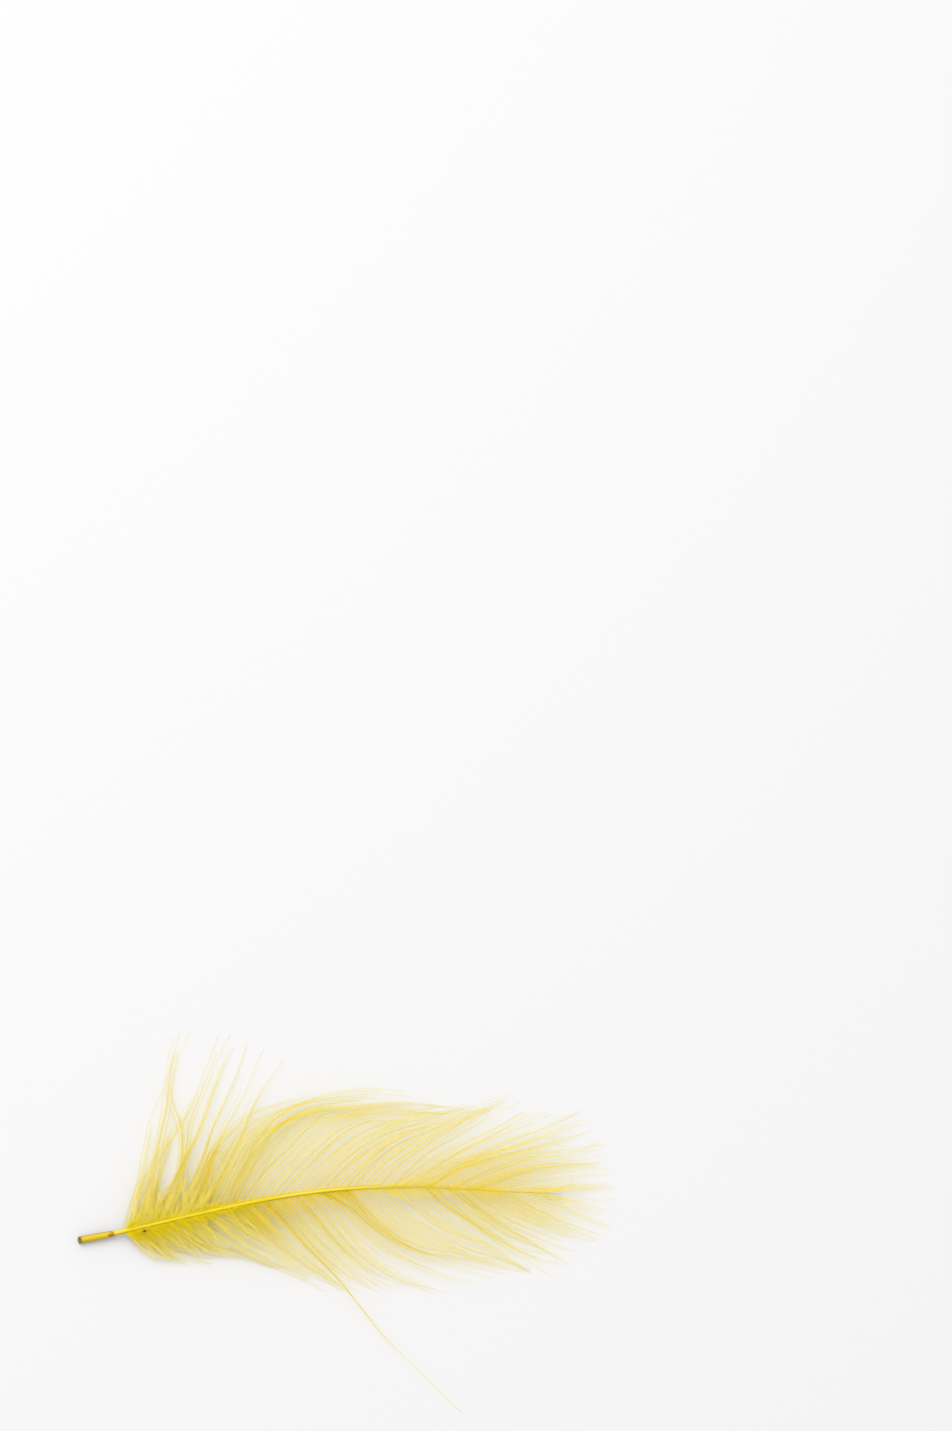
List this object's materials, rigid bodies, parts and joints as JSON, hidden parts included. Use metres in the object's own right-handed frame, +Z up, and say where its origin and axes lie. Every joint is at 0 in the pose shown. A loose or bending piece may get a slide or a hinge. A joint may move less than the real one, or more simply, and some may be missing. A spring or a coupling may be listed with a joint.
{
  "type": "cul de canard feather",
  "caption": "Yellow dyed cul de canard feather with a short bare quill, a thin tapering shaft, soft combed vanes and long loose down at its base.",
  "frame": {"origin": "middle of the feather's bounding box, on the surface it lies on", "axes": "+X along the shaft from the quill to the tip, +Y across the vanes towards the side with the long loose down, +Z up from the surface to the outer side of the feather"},
  "size_m": [0.0605, 0.0435, 0.0028],
  "materials": {
    "dyed_down": "soft matte yellow dye over fine barbs"
  },
  "bodies": {
    "root": {"feather": "dyed_down"}
  },
  "joints": []
}
